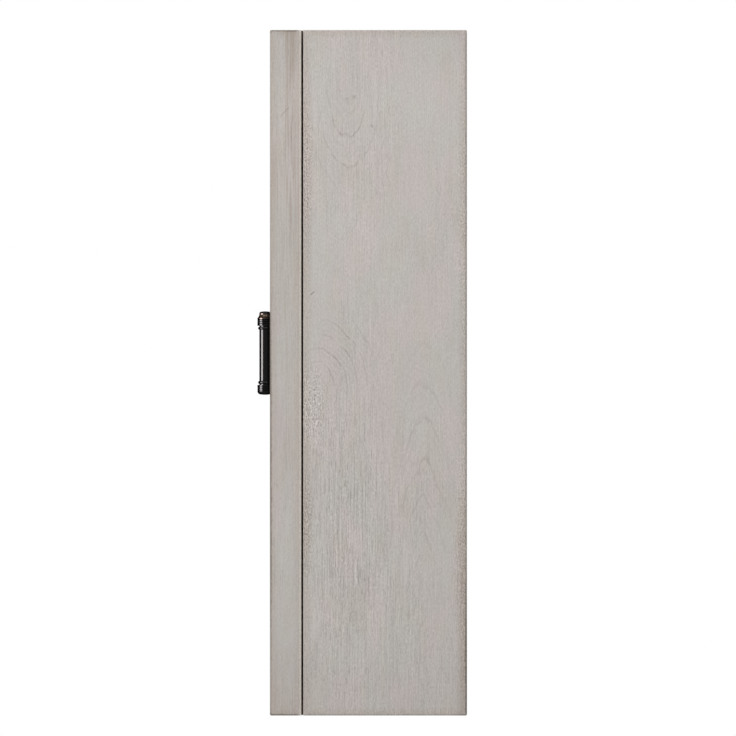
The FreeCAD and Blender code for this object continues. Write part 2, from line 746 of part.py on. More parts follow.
def cup_body(height, grow=0.0, overhang=0.0):
    """A cup with its flange, not yet hollow and flush with the door's back, or grown into the recess."""
    barrel = rod(cup_diameter - 2 * cup_fit + 2 * grow, Vector(cup_x, door_back_y + overhang, height),
                 Vector(cup_x, door_back_y - cup_depth - grow, height))
    half_flange = flange_width / 2 + grow
    half_length = flange_length / 2 + grow
    flange = box(cup_x - half_flange, cup_x + half_flange, door_back_y - flange_thickness - grow,
                 door_back_y + overhang, height - half_length, height + half_length)
    flange = flange.makeFillet(flange_corner, upright_edges(flange, Vector(0, 1, 0)))
    return joined(barrel, flange)


def hinge_pin(height, fit=0.0, overhang=0.0):
    """The pin of one hinge, or with a fit the hole for it."""
    reach = Vector(0, 0, lug_end + overhang)
    middle = Vector(pin_x, pin_y, height)
    return rod(pin_diameter + 2 * fit, middle - reach, middle + reach)


def hinge_cup(height):
    """The cup: a thin round shell with a screw flange and two lugs that hold the pin."""
    shell_diameter = cup_diameter - 2 * cup_fit
    hollow = rod(shell_diameter - 2 * cup_wall, Vector(cup_x, door_back_y + overrun, height),
                 Vector(cup_x, door_back_y - cup_depth + cup_wall, height))
    shell = cup_body(height).cut(hollow)
    room = rod(shell_diameter - cup_wall, Vector(cup_x, door_back_y, height),
               Vector(cup_x, door_back_y - cup_depth + cup_wall / 2, height))
    lugs = []
    for z in (height + lug_start, height - lug_end):
        lug = box(pin_x - lug_width / 2, half_width, door_back_y - cup_depth, pin_y + lug_width / 2,
                  z, z + lug_thickness)
        lugs.append(lug.common(room))
    return joined(shell, *lugs).cut([hinge_pin(height, pin_tight_fit, overrun)] + cup_screw_holes)


cup_recesses = [cup_body(height, flange_fit, overrun) for height in hinge_heights]

# Pull handle on the left stile: an upright turned bar on two posts
handle_x = frame_width / 2 - half_width
handle_y = door_front_y - handle_standoff
post_heights = (handle_height + handle_spacing / 2, handle_height - handle_spacing / 2)
bar_half_length = handle_spacing / 2 - ferrule_below_post
up = Vector(0, 0, 1)


def handle_bar():
    """The bar between the ferrules, with a round bead near each end and a spigot into each ferrule."""
    bar = bar_diameter / 2
    spigot = spigot_diameter / 2
    bead_end = bar_half_length - bead_ring_groove
    bead_start = bead_end - bead_ring_height
    tip = bar_half_length + spigot_length
    half_section = outline((0, 0), (bar, 0), (bar, bead_start),
                           (bead_ring_diameter / 2, (bead_start + bead_end) / 2, bar, bead_end),
                           (bar, bar_half_length), (spigot, bar_half_length), (spigot, tip), (0, tip))
    middle = Vector(handle_x, handle_y, handle_height)
    half = turned(half_section)
    return joined(aimed(half, middle, up), aimed(half, middle, -up))


def rounded_end(radius, foot, end_round):
    """The end of a ferrule as steps of an outline, rounded over from a radius at its foot to the axis."""
    flat = radius - end_round
    round_top = foot + end_round
    round_middle = end_round * math.sqrt(0.5)
    return [(flat + round_middle, foot + round_middle, flat, round_top),
            crowned(flat, round_top, ferrule_crown)]


def handle_ferrule(direction, length, end):
    """A ferrule at one end of the bar: a bored sleeve with ring grooves, closed by the steps of its end."""
    radius = ferrule_diameter / 2
    groove = radius - ferrule_ring_depth
    bore = spigot_diameter / 2 + spigot_fit
    hole_end = spigot_length + spigot_fit
    rings = []
    for place in ferrule_ring_places:
        rings += [(radius, place - ferrule_ring_depth), (groove, place), (radius, place + ferrule_ring_depth)]
    section = outline((bore, 0), (groove, 0), (radius, ferrule_ring_depth), *rings, (radius, length),
                      *end, (0, hole_end), (bore, hole_end))
    start = Vector(handle_x, handle_y, handle_height) + direction * bar_half_length
    return aimed(turned(section), start, direction)


# The upper ferrule ends in a coved shoulder and a finial, and the lower one is just rounded over
finial_radius = finial_diameter / 2
cove_top = ferrule_length + finial_cove_height
finial_foot = cove_top + finial_side
cove = bowed((ferrule_diameter / 2, ferrule_length), (finial_radius, cove_top), -finial_cove_sag)
upper_end = [cove, (finial_radius, finial_foot)] + rounded_end(finial_radius, finial_foot, finial_round)
lower_end = rounded_end(ferrule_diameter / 2, lower_ferrule_length, lower_ferrule_round)


def handle_post(height):
    """A turned post from the rosette to the ferrule, saddled to the ferrule and bored for the screw."""
    foot = post_foot_diameter / 2
    head = post_diameter / 2
    foot_top = rosette_thickness + post_foot_height
    neck_top = handle_standoff - ferrule_diameter / 2
    waist = bowed((foot, foot_top), (head, neck_top), -post_waist_sag)
    section = outline((0, rosette_thickness), (foot, rosette_thickness), (foot, foot_top), waist,
                      (head, handle_standoff), (0, handle_standoff))
    base = Vector(handle_x, door_front_y, height)
    saddle = rod(ferrule_diameter, Vector(handle_x, handle_y, height - overrun - head),
                 Vector(handle_x, handle_y, height + overrun + head))
    thread = rod(handle_screw_shank + 2 * screw_fit, base,
                 base + into_door * (rosette_thickness + handle_screw_in_post + screw_fit))
    return aimed(turned(section), base, into_door).cut([saddle, thread])


def handle_rosette(height):
    """A round foot plate under a post, with a rounded rim and a hole for the screw."""
    radius = rosette_diameter / 2
    hole = handle_screw_shank / 2 + handle_screw_hole_room
    top = rosette_thickness
    cut_corner = rosette_edge * (1 - math.sqrt(0.5))
    section = outline((hole, 0), (radius, 0), (radius, top - rosette_edge),
                      (radius - cut_corner, top - cut_corner, radius - rosette_edge, top), (hole, top))
    return aimed(turned(section), Vector(handle_x, door_front_y, height), into_door)


head_seat_y = door_back_y - handle_screw_counterbore
handle_screw_length = door_thickness - handle_screw_counterbore + rosette_thickness + handle_screw_in_post
handle_screw = pan_screw(handle_screw_head, handle_screw_head_height, handle_screw_shank, handle_screw_length)
handle_screws = [aimed(handle_screw, Vector(handle_x, head_seat_y, z), into_door) for z in post_heights]
handle_holes = []
for z in post_heights:
    head_seat = Vector(handle_x, head_seat_y, z)
    front = Vector(handle_x, door_front_y - overrun, z)
    back = Vector(handle_x, door_back_y + overrun, z)
    handle_holes.append(rod(handle_screw_shank + 2 * handle_screw_hole_room, head_seat, front))
    handle_holes.append(rod(handle_screw_head + 2 * handle_head_room, back, head_seat))

# Strike plate for the catch, and soft buffers, on the back of the left stile
strike_screw_spot = Vector(catch_middle_x, door_back_y + strike_thickness - screw_sink, catch_height)
strike_screw = flat_screw(strike_screw_head, strike_screw_shank, strike_screw_length)
strike_screw = aimed(strike_screw, strike_screw_spot, into_door)
strike_hole = flat_screw_bore(strike_screw_head, strike_screw_shank, strike_screw_length)
strike_hole = aimed(strike_hole, strike_screw_spot, into_door)
strike_plate = box(catch_middle_x - strike_width / 2, catch_middle_x + strike_width / 2,
                   door_back_y, door_back_y + strike_thickness,
                   catch_height - strike_length / 2, catch_height + strike_length / 2)
buffer_height = door_gap - buffer_gap
buffer_section = outline((0, 0), (buffer_diameter / 2, 0), crowned(buffer_diameter / 2, 0, buffer_height))
buffer_x = side_thickness / 2 - half_width
buffer_z = half_height - top_thickness / 2
door_buffers = [aimed(turned(buffer_section), Vector(buffer_x, door_back_y, z), Vector(0, 1, 0))
                for z in (buffer_z, -buffer_z)]

# Dust pads on the back of the right stile, near enough to the hinge pin to turn clear of the case
dust_pad_x = half_width - dust_pad_from_edge
dust_pad = box(dust_pad_x - dust_pad_width, dust_pad_x, door_back_y, front_y - strip_clearance,
               half_height - dust_pad_length, half_height)

# The door, node by node
nodes["stile_right"] = stile_right.cut(frame_dowel_holes + cup_recesses + cup_screw_holes + bead_pin_holes)
nodes["stile_left"] = stile_left.cut(frame_dowel_holes + handle_holes + bead_pin_holes + [strike_hole])
nodes["rail_top"] = rail_top.cut(frame_dowel_holes + bead_pin_holes)
nodes["rail_bottom"] = rail_bottom.cut(frame_dowel_holes + bead_pin_holes)
nodes["frame_dowels"] = Part.Compound(frame_dowels)
nodes["mirror_glass"] = joined(mirror_plate, bevelled_face)
nodes["mirror_backing"] = backing_board
nodes["bead_right"] = bead_right.cut(bead_pin_holes)
nodes["bead_left"] = bead_right.mirror(Vector(0, 0, 0), Vector(1, 0, 0)).cut(bead_pin_holes)
nodes["bead_top"] = bead_top.cut(bead_pin_holes)
nodes["bead_bottom"] = bead_top.mirror(Vector(0, 0, 0), Vector(0, 0, 1)).cut(bead_pin_holes)
nodes["bead_pins"] = Part.Compound(bead_pins)
nodes["hinge_cup_upper"] = hinge_cup(hinge_heights[0])
nodes["hinge_cup_lower"] = hinge_cup(hinge_heights[1])
nodes["hinge_pin_upper"] = hinge_pin(hinge_heights[0])
nodes["hinge_pin_lower"] = hinge_pin(hinge_heights[1])
nodes["hinge_cup_screws"] = Part.Compound(cup_screws)
nodes["handle_bar"] = handle_bar()
nodes["handle_ferrule_upper"] = handle_ferrule(up, ferrule_length, upper_end)
nodes["handle_ferrule_lower"] = handle_ferrule(-up, lower_ferrule_length, lower_end)
nodes["handle_post_upper"] = handle_post(post_heights[0])
nodes["handle_post_lower"] = handle_post(post_heights[1])
nodes["handle_rosette_upper"] = handle_rosette(post_heights[0])
nodes["handle_rosette_lower"] = handle_rosette(post_heights[1])
nodes["handle_screws"] = Part.Compound(handle_screws)
nodes["strike_plate"] = strike_plate.cut(strike_hole)
nodes["strike_screw"] = strike_screw
nodes["door_buffers"] = Part.Compound(door_buffers)
nodes["dust_pads"] = Part.Compound([dust_pad, dust_pad.mirror(Vector(0, 0, 0), Vector(0, 0, 1))])

os.makedirs("parts", exist_ok=True)
for name, shape in nodes.items():
    shape.exportStep("parts/" + name + ".step")
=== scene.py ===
import math

import bpy
import numpy as np
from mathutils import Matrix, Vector


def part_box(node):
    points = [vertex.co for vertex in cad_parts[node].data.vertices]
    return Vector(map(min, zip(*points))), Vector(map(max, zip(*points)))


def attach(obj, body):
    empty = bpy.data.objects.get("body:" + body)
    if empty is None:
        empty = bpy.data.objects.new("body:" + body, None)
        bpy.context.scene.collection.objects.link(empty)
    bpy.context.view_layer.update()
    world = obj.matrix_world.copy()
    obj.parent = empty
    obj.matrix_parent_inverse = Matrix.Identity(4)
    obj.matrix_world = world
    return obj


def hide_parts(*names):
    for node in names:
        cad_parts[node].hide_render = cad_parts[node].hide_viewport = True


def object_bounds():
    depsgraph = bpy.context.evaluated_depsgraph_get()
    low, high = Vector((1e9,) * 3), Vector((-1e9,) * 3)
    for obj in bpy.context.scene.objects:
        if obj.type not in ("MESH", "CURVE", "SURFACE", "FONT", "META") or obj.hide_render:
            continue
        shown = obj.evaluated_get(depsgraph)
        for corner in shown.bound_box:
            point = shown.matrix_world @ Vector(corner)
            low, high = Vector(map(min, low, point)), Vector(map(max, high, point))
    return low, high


# A wall-hung medicine cabinet, from the case outwards to the door and its handle. Metres: +Z is up, -Y is the
# room side, and the wall is the plane y = 0.
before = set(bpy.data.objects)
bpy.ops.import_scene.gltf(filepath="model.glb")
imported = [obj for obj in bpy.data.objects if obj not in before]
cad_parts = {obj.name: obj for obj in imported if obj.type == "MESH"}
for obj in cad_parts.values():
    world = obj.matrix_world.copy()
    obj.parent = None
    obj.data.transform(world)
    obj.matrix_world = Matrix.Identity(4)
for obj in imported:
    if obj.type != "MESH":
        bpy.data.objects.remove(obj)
cad_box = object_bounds()


# Case sides
# Two full-height 18 mm boards of open-pored wood, rebated for the back and bored with rows of peg holes. They
# are washed with thin cream-grey paint, glazed with brown along the edges and rubbed back there to the wood.
class Shade:
    """One output of a node in a finish: a value, colour, place or shader that further nodes take up."""

    def __init__(self, tree, socket):
        self.tree = tree
        self.socket = socket

    def node(self, kind, settings, inputs, output=0):
        """Any node of the same tree: its settings are set first, then the values or links of its sockets."""
        made = self.tree.nodes.new("ShaderNode" + kind)
        for name, value in settings.items():
            setattr(made, name, value)
        for name, value in inputs.items():
            if isinstance(value, Shade):
                self.tree.links.new(value.socket, made.inputs[name])
            else:
                made.inputs[name].default_value = value
        return Shade(self.tree, made.outputs[output] if made.outputs else None)

    def math(self, operation, *values):
        """A Math node on this value and any further ones."""
        return self.node("Math", {"operation": operation}, dict(enumerate((self, *values))))

    def __add__(self, other):
        return self.math("ADD", other)

    def __sub__(self, other):
        return self.math("SUBTRACT", other)

    def __rsub__(self, other):
        return self.node("Math", {"operation": "SUBTRACT"}, {0: other, 1: self})

    def __mul__(self, other):
        return self.math("MULTIPLY", other)

    def __truediv__(self, other):
        return self.math("DIVIDE", other)

    def __pow__(self, other):
        return self.math("POWER", other)

    def __abs__(self):
        return self.math("ABSOLUTE")

    __radd__ = __add__
    __rmul__ = __mul__

    def rise(self, start, end):
        """0 as far as the start and 1 past the end, with an S-shaped slope between. The end may be lower."""
        return self.node("MapRange", {"interpolation_type": "SMOOTHSTEP"},
                         {"Value": self, "From Min": start, "From Max": end})

    def between(self, first, second):
        """A colour that is the first where this value is 0 and the second where it is 1."""
        return self.node("Mix", {"data_type": "RGBA"}, {0: self, 6: first, 7: second}, output=2)

    def dimmed(self, share):
        """A colour times a value."""
        return self.node("VectorMath", {"operation": "SCALE"}, {0: self, "Scale": share})

    def parts(self):
        """The three coordinates of a place."""
        split = self.node("SeparateXYZ", {}, {0: self})
        return [Shade(self.tree, socket) for socket in split.socket.node.outputs]

    def cloud(self, sizes, detail=2.0):
        """A cloudy value about 0.5, worked out in the solid, with patches of these sizes along the axes."""
        steps = self.node("VectorMath", {"operation": "DIVIDE"}, {0: self, 1: sizes})
        return self.node("TexNoise", {}, {"Vector": steps, "Scale": 1.0, "Detail": detail})

    def relief(self, height):
        """The surface raised by this value times a height."""
        return self.node("Bump", {}, {"Strength": 1.0, "Distance": height, "Height": self})


def seen(red, green, blue):
    """A colour as the eye sees it, 0 to 255 a channel, turned to the linear light that shaders take."""
    share = np.array([red, green, blue]) / 255
    return (*np.where(share <= 0.04045, share / 12.92, ((share + 0.055) / 1.055) ** 2.4), 1.0)


def begin(name):
    """A new finish, and the place on the piece in metres that its patterns start from."""
    finish = bpy.data.materials.new(name)
    finish.use_nodes = True
    finish.node_tree.nodes.clear()
    coordinates = finish.node_tree.nodes.new("ShaderNodeTexCoord")
    return finish, Shade(finish.node_tree, coordinates.outputs["Object"])


def lay(finish, place, sockets, *names):
    """Closes a finish with its surface shader and lays it on CAD nodes by name."""
    surface = place.node("BsdfPrincipled", {}, sockets)
    place.node("OutputMaterial", {}, {"Surface": surface})
    for name in names:
        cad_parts[name].material_slots[0].material = finish


def corners(name):
    """The lowest and highest corner of a node as arrays."""
    low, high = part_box(name)
    return np.array(low), np.array(high)


def from_edge(place, low, high):
    """How far a point on a box-shaped piece is from its nearest edge: across each axis it has a distance to
    the nearer face, the least of the three is to its own face, and the middle one is to the edge."""
    near = []
    for coordinate, start, end in zip(place.parts(), low, high):
        near.append((end - start) / 2 - abs(coordinate - (start + end) / 2))
    lesser = near[0].math("MINIMUM", near[1])
    greater = near[0].math("MAXIMUM", near[1])
    return lesser.math("MAXIMUM", greater.math("MINIMUM", near[2]))


def blot(place, middle, sizes):
    """1 in the middle of a soft ellipsoid, falling to 0 where its sizes end."""
    off = place.node("VectorMath", {"operation": "SUBTRACT"}, {0: place, 1: middle})
    off = place.node("VectorMath", {"operation": "DIVIDE"}, {0: off, 1: sizes})
    return place.node("VectorMath", {"operation": "LENGTH"}, {0: off}, "Value").rise(1.0, 0.1)


def scratch_and_shade_line(place, start, end, width):
    """1 on a straight line between two points, falling to 0 at half a width from it: the nearest point of the
    line is a share of its run, held between 0 and 1, and the distance is measured from there."""
    run = np.subtract(end, start)
    off = place.node("VectorMath", {"operation": "SUBTRACT"}, {0: place, 1: start})
    share = place.node("VectorMath", {"operation": "DOT_PRODUCT"}, {0: off, 1: run / (run @ run)}, "Value")
    share = share.math("MAXIMUM", 0.0).math("MINIMUM", 1.0)
    nearest = share.node("VectorMath", {"operation": "SCALE"}, {0: run, "Scale": share})
    distance = off.node("VectorMath", {"operation": "DISTANCE"}, {0: off, 1: nearest}, "Value")
    return distance.rise(width / 2, 0.0)


def spots(place, start, marks):
    """A value raised by soft blots, each given as its middle, its sizes and its strength."""
    for middle, sizes, strength in marks:
        start = start + blot(place, middle, sizes) * strength
    return start


def arch_reach(place, tip, way, crown, wide, long):
    """How far a point is from a line along the grain that ends at the tip: beside the line straight across,
    and past its end about the tip, drawn out by a third. The way is 1 for an arch that points up the grain,
    -1 for one that points down it, and nearer 0 for one drawn out further. The crown is 2 for a round arch,
    and less for a pointed one."""
    drawn_out = 1.35
    off = place.node("VectorMath", {"operation": "SUBTRACT"}, {0: place, 1: tip}).parts()
    past = (off[long] * (way / drawn_out)).math("MAXIMUM", 0.0)
    return (abs(off[wide]) ** crown + past ** crown) ** (1 / crown)


def lines(reach, spacing, width):
    """1 where a distance passes a multiple of the spacing, fading to 0 over a width past it."""
    return ((reach / spacing).math("FRACT") * spacing).rise(width, 0.0)


def whitewash(board, arches, gap=None, cream_and_highlight=0.0, coarse=1.0, side_wear=0.4, end_wear=0.6,
              rubbed=(), stains=(), streaked=(), dotted=(), scratches_and_shade_lines=()):
    """Thin paint over a board sawn flat from a trunk. Its growth rings show as arches, broken dark lines at
    even distances from a line along the grain, each arch within a soft spot. Short fibres lighten and darken
    the paint all over, long fibres and pores do where it is streaked, and rows of pores follow the first arch
    where it is dotted. Brown glaze speckles it near the edges, which are rubbed to the wood within two
    millimetres. Along the gap, which neither brush nor rag reaches, the edges stay painted."""
    ring_spacing = 0.0117
    row_spacing = 0.0027
    low, high = corners(board)
    wide, long = np.argsort(high - low)[1:]
    finish, place = begin(board + "_whitewash")

    def drawn(across, along):
        """The sizes of a pattern drawn out along the grain."""
        sizes = np.full(3, across)
        sizes[long] = along
        return sizes

    warp = (place.cloud(drawn(0.030, 0.080)) - 0.5) * 0.012 + (place.cloud(drawn(0.007, 0.014)) - 0.5) * 0.005
    reaches = []
    ring = 0.0
    for tip, way, crown, spot in arches:
        reach = arch_reach(place, tip, way, crown, wide, long) + warp
        late_wood = lines(reach, ring_spacing, 0.0020) + lines(reach, ring_spacing / 3, 0.0015) * 0.5
        ring = ring + late_wood * spots(place, 0.0, [spot])
        reaches.append(reach)
    ring = ring * place.cloud(drawn(0.006, 0.020)).rise(0.30, 0.56)

    streak = spots(place, place.cloud(drawn(0.040, 0.130)).rise(0.36, 0.64) * 0.22 + 0.16, streaked)
    short_fibre = place.cloud(drawn(0.0012, 0.0030), 1.0) - 0.5
    long_fibre = place.cloud(drawn(0.0011, 0.0500), 0.0) - 0.5
    pore = place.cloud(drawn(0.0011, 0.0120), 0.0).rise(0.58, 0.74) * (streak * 0.9)
    speck = place.cloud(drawn(0.0012, 0.0022), 0.0) - 0.5
    row = (reaches[0] + (place.cloud(drawn(0.004, 0.009)) - 0.5) * 0.006) * (math.tau / row_spacing)
    row = row.math("SINE") * place.cloud(drawn(0.0026, 0.0018), 0.0).rise(0.38, 0.62)
    mottle = place.cloud(drawn(0.045, 0.090), 2.0) - 0.5

    edge = from_edge(place, low, high)
    band = edge.rise(0.012, 0.002)
    worn = (edge + (place.cloud((0.006, 0.006, 0.006)) - 0.5) * 0.0022).rise(0.0029, 0.0013)
    end = (high - low)[long] / 2 - abs(place.parts()[long] - (low + high)[long] / 2)
    worn = worn * spots(place, end.rise(0.0050, 0.0020) * (end_wear - side_wear) + side_wear, rubbed)
    if gap is not None:
        to_gap = abs(place.parts()[1] - gap)
        worn = worn * to_gap.rise(0.0020, 0.0060)

    blush = place.cloud(drawn(0.032, 0.075), 1.5).rise(0.34, 0.66)
    straw = place.cloud(drawn(0.022, 0.060), 1.5).rise(0.46, 0.70)
    colour = blush.between(seen(186, 182, 177), seen(190, 182, 179))
    colour = (straw * 0.30).between(colour, seen(185, 178, 166))
    glaze = band * ((speck * 2.0).rise(-0.2, 0.3) * 0.30 + 0.10)
    colour = glaze.between(colour, seen(156, 140, 124))
    for middle, sizes, strength in stains:
        stain = blot(place, middle, sizes) * (long_fibre * 0.8 + strength)
        colour = stain.between(colour, seen(140, 122, 106))
    colour = (pore * 0.45).between(colour, seen(128, 117, 109))
    colour = (ring * (short_fibre * 2.0 + 0.42)).between(colour, seen(134, 122, 114))
    colour = worn.between(colour, seen(104, 95, 86))
    # Dark lines: real scratches, and on the right stile a painted shade line along the front arris beside the
    # handle.
    for start, stop, width, strength in scratches_and_shade_lines:
        colour = (scratch_and_shade_line(place, start, stop, width) * strength).between(colour, seen(92, 82, 74))
    # A thin lighter line along the edges at the gap: thicker wash, and a painted highlight on the arris.
    if cream_and_highlight:
        thick_wash_and_highlight = to_gap.rise(0.0026, 0.0012) * edge.rise(0.0026, 0.0014)
        colour = (thick_wash_and_highlight * cream_and_highlight).between(colour, seen(230, 223, 213))
    grain = short_fibre * (streak * 0.38 + 0.35) + long_fibre * streak * 0.56 + speck * band * 0.80
    dots = (row * 0.20 + speck) * spots(place, 0.0, dotted)
    tone = grain * coarse + dots + mottle * 0.12 - end.rise(0.100, 0.0) * 0.055 + 1.0
    height = long_fibre * 0.6 + short_fibre * 0.4 - pore * 0.7 - ring * 0.3
    lay(finish, place, {"Base Color": colour.dimmed(tone), "Roughness": pore * 0.2 + worn * 0.4 + 0.50,
                        "Normal": height.relief(0.00022)}, board)


side_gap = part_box("side_right")[0].y
right_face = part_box("side_right")[1].x
left_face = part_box("side_left")[0].x
whitewash("side_right",
          [((right_face, -0.169, -0.024), 0.93, 2.0,
            ((right_face, -0.138, 0.020), (0.030, 0.048, 0.066), 1.0)),
           ((right_face, -0.133, 0.334), -0.46, 2.0,
            ((right_face, -0.133, 0.268), (0.030, 0.056, 0.090), 0.8)),
           ((right_face, -0.048, -0.270), 0.36, 1.4,
            ((right_face, -0.048, -0.110), (0.030, 0.050, 0.230), 0.5))],
          side_gap, side_wear=0.30, end_wear=0.10,
          rubbed=[((right_face, 0.000, -0.330), (0.030, 0.020, 0.140), 0.60)],
          stains=[((right_face, -0.004, -0.230), (0.030, 0.014, 0.130), 0.34),
                  ((right_face, -0.004, -0.360), (0.030, 0.012, 0.120), 0.30),
                  ((right_face, -0.178, 0.200), (0.030, 0.011, 0.150), 0.16),
                  ((right_face, -0.178, -0.160), (0.030, 0.011, 0.080), 0.22)],
          streaked=[((right_face, -0.150, -0.140), (0.030, 0.075, 0.190), 0.42),
                    ((right_face, -0.110, -0.260), (0.030, 0.110, 0.260), 0.30)],
          dotted=[((right_face, -0.172, -0.040), (0.030, 0.026, 0.064), 1.1),
                  ((right_face, -0.178, 0.220), (0.030, 0.011, 0.120), 0.9),
                  ((right_face, -0.178, -0.170), (0.030, 0.011, 0.090), 0.9),
                  ((right_face, -0.004, -0.200), (0.030, 0.016, 0.200), 0.8),
                  ((right_face, -0.004, 0.150), (0.030, 0.012, 0.250), 0.4)],
          scratches_and_shade_lines=[((right_face, -0.1735, 0.0868), (right_face, -0.1698, 0.0900), 0.0018, 0.75),
                     ((right_face, -0.1062, 0.2752), (right_face, -0.1050, 0.2728), 0.0022, 0.55),
                     ((right_face, -0.1142, -0.0560), (right_face, -0.1136, -0.0760), 0.0016, 0.40),
                     ((right_face, -0.0480, -0.1060), (right_face, -0.0680, -0.1300), 0.0022, 0.16),
                     ((right_face, -0.0680, -0.1300), (right_face, -0.0730, -0.1600), 0.0020, 0.14),
                     ((right_face, -0.0520, -0.2020), (right_face, -0.0680, -0.2460), 0.0020, 0.16)])
whitewash("side_left",
          [((left_face, -0.070, 0.100), 1, 1.4, ((left_face, -0.080, 0.150), (0.030, 0.070, 0.090), 0.9)),
           ((left_face, -0.110, -0.260), -1, 1.4, ((left_face, -0.100, -0.300), (0.030, 0.060, 0.080), 0.6))],
          side_gap, side_wear=0.30, end_wear=0.10,
          streaked=[((left_face, -0.080, 0.000), (0.030, 0.080, 0.240), 0.50)])


# Top and bottom boards and the two rails
# The boards close the case between the sides, and the rails behind its back take the wall screws. All four
# are the same washed wood with the grain running across the cabinet, and dowels join them to the sides.
for board, drift, way in (("top_board", -0.110, 1), ("bottom_board", 0.090, -1)):
    middle = sum(corners(board)) / 2
    spot = (middle + (drift + way * 0.050, -0.020, -way * 0.009), (0.110, 0.060, 0.030), 0.8)
    whitewash(board, [(middle + (drift, -0.010, 0.0), way, 1.4, spot)], side_gap)
for rail, drift in (("hanging_rail", 0.050), ("lower_rail", -0.150)):
    middle = sum(corners(rail)) / 2
    spot = (middle + (drift + 0.030, -0.009, 0.0), (0.110, 0.030, 0.040), 0.8)
    whitewash(rail, [(middle + (drift, 0.0, 0.006), 1, 1.4, spot)])


# Back panel
# A 6 mm sheet of plywood let into the boards and screwed from behind. Its wall side is bare, rotary-cut
# veneer with broad flames, and the side in the case is washed like the boards.
def plywood(panel):
    """Rotary veneer: it darkens up to each even step of a broad cloud that is stretched along the grain."""
    low, high = corners(panel)
    finish, place = begin("bare_plywood")
    peel = place.cloud((0.10, 0.05, 0.55), 1.5) * 0.9 + place.cloud((0.012, 0.012, 0.12)) * 0.05
    flame = (peel * 15.0).math("FRACT").rise(0.25, 1.0)
    fibre = place.cloud((0.0009, 0.0009, 0.050), 3.0)
    pore = place.cloud((0.0007, 0.0007, 0.006), 1.0).rise(0.62, 0.74)
    depth = place.parts()[1]
    layers = 3
    ply = (depth * (math.pi * layers / (high[1] - low[1]))).math("SINE")
    bare = flame.between(seen(208, 184, 150), seen(190, 160, 122))
    bare = (pore * 0.5).between(bare, seen(138, 106, 74))
    bare = (ply.rise(0.2, 0.5) * 0.35).between(bare, seen(150, 116, 80))
    blush = place.cloud((0.02, 0.02, 0.14)).rise(0.36, 0.64)
    wash = blush.between(seen(186, 182, 177), seen(190, 182, 178))
    wash = (pore * 0.5).between(wash, seen(138, 126, 117))
    painted = depth.rise(low[1] * 0.80, low[1] * 0.97)
    colour = painted.between(bare, wash).dimmed(fibre * 0.26 + 0.87)
    height = fibre * 0.5 - pore
    lay(finish, place, {"Base Color": colour, "Roughness": 0.68 - painted * 0.18 + pore * 0.1,
                        "Normal": height.relief(0.00018)}, panel)


plywood("back_panel")


# Dowels of the case
# Short beech rods, glued half in the sides and half in the boards and rails, so none shows once it is closed.
def beech(dowels):
    """Pale close wood with short dark ray flecks and long fibres along X, the way that every dowel lies."""
    finish, place = begin(dowels + "_beech")
    fibre = place.cloud((0.040, 0.0006, 0.0006), 3.0)
    fleck = place.cloud((0.0030, 0.0008, 0.0004), 1.0).rise(0.60, 0.72)
    colour = (fleck * 0.6).between(seen(205, 170, 130), seen(160, 116, 80)).dimmed(fibre * 0.3 + 0.85)
    lay(finish, place, {"Base Color": colour, "Roughness": fibre * 0.2 + 0.55,
                        "Normal": fibre.relief(0.0001)}, dowels)


beech("case_dowels")


# Screws of the back panel
# Flat-head wood screws with a driver's cross, turned from steel and plated with bright zinc. Twelve hold the
# panel in the rebates of the boards, with their heads just below its face.
def zinc(hardware):
    """Bright plate: fine turning marks in the roughness and a faint blue and straw tinge in broad patches."""
    finish, place = begin(hardware + "_zinc")
    tinge = place.cloud((0.003, 0.003, 0.003)).rise(0.35, 0.65)
    scuff = place.cloud((0.0004, 0.0004, 0.0004), 3.0)
    colour = tinge.between(seen(196, 200, 206), seen(206, 202, 190)).dimmed(scuff * 0.3 + 0.82)
    lay(finish, place, {"Base Color": colour, "Metallic": 1.0, "Roughness": scuff * 0.3 + 0.18,
                        "Normal": scuff.relief(0.00003)}, hardware)


zinc("back_screws")


# Dust strips and pads
# Lengths of dark brown felt tape stuck to the front edges of the case, and two short ones to the door's back
# beside the hinges, which close the gap behind the door to light. Their dark brown is painted shade: a dark
# sheet put in the gap, where there is only shade.
def gap_shade_felt(*strips):
    """Matted fibres: fine clouds of light and dark in the brown, and a nap that stands up with them."""
    finish, place = begin("brown_felt_gap_shade")
    nap = place.cloud((0.0005, 0.0005, 0.0005), 4.0)
    wisp = place.cloud((0.0003, 0.0003, 0.0040), 2.0).rise(0.55, 0.75)
    colour = nap.rise(0.30, 0.70).between(seen(78, 64, 54), seen(104, 86, 74))
    colour = (wisp * 0.4).between(colour, seen(122, 104, 90))
    lay(finish, place, {"Base Color": colour, "Roughness": nap * 0.1 + 0.88, "Sheen Weight": 0.3,
                        "Normal": (nap + wisp * 0.3).relief(0.0003)}, *strips)


gap_shade_felt("dust_strips", "dust_pads")


# Glass shelves
# Two plates of 6 mm float glass with round corners and ground edges, which lie loose on four pads each.
def shelf_glass(*shelves):
    """Clear plate, faintly smeared, that turns frosted and green within a few millimetres of its edges."""
    for shelf in shelves:
        low, high = corners(shelf)
        finish, place = begin(shelf + "_float_glass")
        rim = from_edge(place, low, high).rise(0.0015, 0.0002)
        smear = place.cloud((0.05, 0.02, 0.02), 3.0).rise(0.45, 0.75)
        colour = rim.between(seen(243, 250, 247), seen(168, 208, 192))
        lay(finish, place, {"Base Color": colour, "Roughness": rim * 0.22 + smear * 0.05 + 0.01,
                            "IOR": 1.52, "Transmission Weight": 1.0}, shelf)


shelf_glass("shelf_upper", "shelf_lower")


